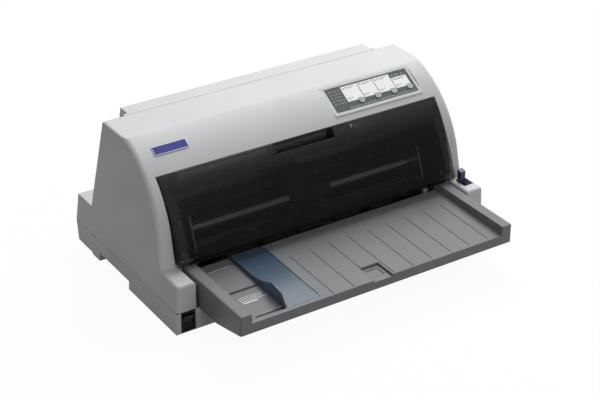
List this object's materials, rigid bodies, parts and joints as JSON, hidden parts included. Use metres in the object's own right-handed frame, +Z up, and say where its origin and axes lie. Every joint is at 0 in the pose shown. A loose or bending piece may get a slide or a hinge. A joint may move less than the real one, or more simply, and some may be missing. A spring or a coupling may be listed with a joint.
{
  "type": "dot matrix printer",
  "caption": "Desktop flatbed dot matrix printer with a smoked front cover, a sheet tray with an edge guide, a sloping button panel, a rear cover and a geared paper feed.",
  "frame": {"origin": "centre of the bounding box on the table, under the feet", "axes": "+X to the user's right, +Y from the tray at the front to the rear ports, +Z up"},
  "size_m": [0.4798, 0.38, 0.21],
  "materials": {
    "case_plastic": "fine moulded texture, pale grey",
    "base_plastic": "fine moulded texture, grey",
    "tray_plastic": "fine moulded texture, mid grey",
    "smoked_plastic": "smoked, see-through, polished",
    "guide_plastic": "tinted blue-grey, slightly see-through",
    "panel_plastic": "printed dark film",
    "button_plastic": "satin",
    "plate_film": "blank blue film",
    "switch_plastic": "satin black",
    "lever_plastic": "satin dark blue",
    "mechanism_plastic": "satin black",
    "gear_plastic": "natural white",
    "rubber": "matte black",
    "zinc_steel": "zinc plated sheet",
    "shaft_steel": "ground and polished",
    "head_metal": "cast, finned",
    "motor_metal": "black paint",
    "board_laminate": "green lacquer",
    "port_metal": "plated and dark insert"
  },
  "bodies": {
    "case": {"upper_case": "case_plastic", "lower_case": "base_plastic", "rubber_feet": "rubber", "case_screws": "zinc_steel", "cover_hinge_pins": "shaft_steel", "rear_hinge_pins": "shaft_steel", "front_tray": "tray_plastic", "control_panel": "panel_plastic", "button_board": "board_laminate", "badge_plate": "plate_film", "switch_housing": "switch_plastic", "lever_bracket": "mechanism_plastic", "base_frame": "zinc_steel", "side_frame_left": "zinc_steel", "side_frame_right": "zinc_steel", "platen": "mechanism_plastic", "guide_shaft": "shaft_steel", "guide_rail": "zinc_steel", "feed_motor": "motor_metal", "timing_belt": "rubber", "carriage_motor": "motor_metal", "idler_axle": "shaft_steel", "tractor_rod": "shaft_steel", "rear_paper_guide": "zinc_steel", "front_paper_guide": "zinc_steel", "main_board": "board_laminate", "power_supply": "board_laminate", "interface_port": "port_metal", "power_inlet": "switch_plastic"},
    "front_cover": {"front_cover": "smoked_plastic"},
    "rear_cover": {"rear_cover": "case_plastic"},
    "edge_guide": {"edge_guide": "guide_plastic"},
    "paper_support": {"paper_support": "tray_plastic"},
    "panel_button_1": {"panel_button_1": "button_plastic"},
    "panel_button_2": {"panel_button_2": "button_plastic"},
    "panel_button_3": {"panel_button_3": "button_plastic"},
    "panel_button_4": {"panel_button_4": "button_plastic"},
    "power_rocker": {"power_rocker": "switch_plastic"},
    "release_lever": {"release_lever": "lever_plastic"},
    "carriage": {"carriage": "mechanism_plastic", "print_head": "head_metal", "ribbon_cartridge": "mechanism_plastic"},
    "motor_pulley": {"motor_pulley": "gear_plastic"},
    "idler_pulley": {"idler_pulley": "gear_plastic"},
    "train_gear": {"train_gear": "gear_plastic"},
    "feed_pinion": {"motor_pinion": "gear_plastic", "feed_motor_shaft": "shaft_steel"},
    "front_feed_roller": {"front_feed_roller": "rubber", "front_roller_gear": "gear_plastic"},
    "rear_feed_roller": {"rear_feed_roller": "rubber", "rear_roller_gear": "gear_plastic"},
    "front_pinch_roller": {"front_pinch_roller": "rubber"},
    "rear_pinch_roller": {"rear_pinch_roller": "rubber"},
    "relay_gear": {"relay_gear": "gear_plastic"},
    "tractor_drive": {"tractor_shaft": "shaft_steel", "tractor_gear": "gear_plastic"},
    "tractor_left": {"tractor_left": "mechanism_plastic"},
    "tractor_right": {"tractor_right": "mechanism_plastic"},
    "sprocket_left": {"sprocket_left": "gear_plastic"},
    "sprocket_right": {"sprocket_right": "gear_plastic"}
  },
  "joints": [
    {"name": "front_cover_hinge", "type": "hinge", "parent": "case", "child": "front_cover", "pos_m": [0, -0.0525, 0.0775], "axis": [1, 0, 0], "range_deg": [0, 100]},
    {"name": "rear_cover_hinge", "type": "hinge", "parent": "case", "child": "rear_cover", "pos_m": [0, 0.112, 0.206], "axis": [1, 0, 0], "range_deg": [0, 75]},
    {"name": "edge_guide_slide", "type": "slide", "parent": "case", "child": "edge_guide", "axis": [-1, 0, 0], "range_m": [0, 0.05]},
    {"name": "paper_support_slide", "type": "slide", "parent": "case", "child": "paper_support", "axis": [0, -1, 0], "range_m": [0, 0.09]},
    {"name": "panel_button_1_press", "type": "slide", "parent": "case", "child": "panel_button_1", "axis": [0, 0.503, -0.8643], "range_m": [0, 0.0012], "stiffness_N_per_m": 400},
    {"name": "panel_button_2_press", "type": "slide", "parent": "case", "child": "panel_button_2", "axis": [0, 0.503, -0.8643], "range_m": [0, 0.0012], "stiffness_N_per_m": 400},
    {"name": "panel_button_3_press", "type": "slide", "parent": "case", "child": "panel_button_3", "axis": [0, 0.503, -0.8643], "range_m": [0, 0.0012], "stiffness_N_per_m": 400},
    {"name": "panel_button_4_press", "type": "slide", "parent": "case", "child": "panel_button_4", "axis": [0, 0.503, -0.8643], "range_m": [0, 0.0012], "stiffness_N_per_m": 400},
    {"name": "power_rocker_tilt", "type": "hinge", "parent": "case", "child": "power_rocker", "pos_m": [-0.2225, -0.0866, 0.0175], "axis": [1, 0, 0], "range_deg": [-16, 0]},
    {"name": "release_lever_turn", "type": "hinge", "parent": "case", "child": "release_lever", "pos_m": [0.222, -0.0615, 0.044], "axis": [1, 0, 0], "range_deg": [0, 15]},
    {"name": "carriage_slide", "type": "slide", "parent": "case", "child": "carriage", "axis": [1, 0, 0], "range_m": [-0.13, 0.115]},
    {"name": "motor_pulley_spin", "type": "hinge", "parent": "case", "child": "motor_pulley", "pos_m": [-0.156, 0.08, 0.089], "axis": [0, 0, 1], "range_deg": [-1130, 1000]},
    {"name": "idler_pulley_spin", "type": "hinge", "parent": "case", "child": "idler_pulley", "pos_m": [0.156, 0.08, 0.089], "axis": [0, 0, 1], "range_deg": [-1130, 1000]},
    {"name": "train_gear_spin", "type": "hinge", "parent": "case", "child": "train_gear", "pos_m": [0.183, 0.02, 0.052], "axis": [1, 0, 0], "continuous": true},
    {"name": "feed_pinion_spin", "type": "hinge", "parent": "case", "child": "feed_pinion", "pos_m": [0.183, 0.04873, 0.0279], "axis": [1, 0, 0], "continuous": true},
    {"name": "front_feed_roller_spin", "type": "hinge", "parent": "case", "child": "front_feed_roller", "pos_m": [0, -0.0205, 0.052], "axis": [1, 0, 0], "continuous": true},
    {"name": "rear_feed_roller_spin", "type": "hinge", "parent": "case", "child": "rear_feed_roller", "pos_m": [0, 0.0605, 0.052], "axis": [1, 0, 0], "continuous": true},
    {"name": "front_pinch_roller_spin", "type": "hinge", "parent": "case", "child": "front_pinch_roller", "pos_m": [0, -0.0205, 0.0662], "axis": [1, 0, 0], "continuous": true},
    {"name": "rear_pinch_roller_spin", "type": "hinge", "parent": "case", "child": "rear_pinch_roller", "pos_m": [0, 0.0605, 0.0662], "axis": [1, 0, 0], "continuous": true},
    {"name": "relay_gear_spin", "type": "hinge", "parent": "case", "child": "relay_gear", "pos_m": [0.183, 0.0882, 0.06851], "axis": [1, 0, 0], "continuous": true},
    {"name": "tractor_drive_spin", "type": "hinge", "parent": "case", "child": "tractor_drive", "pos_m": [0, 0.1159, 0.08503], "axis": [1, 0, 0], "continuous": true},
    {"name": "tractor_left_slide", "type": "slide", "parent": "case", "child": "tractor_left", "axis": [1, 0, 0], "range_m": [-0.02, 0.06]},
    {"name": "tractor_right_slide", "type": "slide", "parent": "case", "child": "tractor_right", "axis": [1, 0, 0], "range_m": [-0.06, 0.02]},
    {"name": "sprocket_left_spin", "type": "hinge", "parent": "tractor_left", "child": "sprocket_left", "pos_m": [-0.14, 0.1159, 0.08503], "axis": [1, 0, 0], "continuous": true},
    {"name": "sprocket_right_spin", "type": "hinge", "parent": "tractor_right", "child": "sprocket_right", "pos_m": [0.14, 0.1159, 0.08503], "axis": [1, 0, 0], "continuous": true}
  ],
  "couplings": [
    {"joint": "motor_pulley_spin", "follows": "carriage_slide", "rad_per_m": 151.52},
    {"joint": "idler_pulley_spin", "follows": "carriage_slide", "rad_per_m": 151.52},
    {"joint": "feed_pinion_spin", "follows": "train_gear_spin", "ratio": -2.5714},
    {"joint": "front_feed_roller_spin", "follows": "train_gear_spin", "ratio": -2},
    {"joint": "rear_feed_roller_spin", "follows": "train_gear_spin", "ratio": -2},
    {"joint": "front_pinch_roller_spin", "follows": "train_gear_spin", "ratio": 2.7586},
    {"joint": "rear_pinch_roller_spin", "follows": "train_gear_spin", "ratio": 2.7586},
    {"joint": "relay_gear_spin", "follows": "train_gear_spin", "ratio": 1.44},
    {"joint": "tractor_drive_spin", "follows": "train_gear_spin", "ratio": -2},
    {"joint": "sprocket_left_spin", "follows": "train_gear_spin", "ratio": -2},
    {"joint": "sprocket_right_spin", "follows": "train_gear_spin", "ratio": -2}
  ]
}
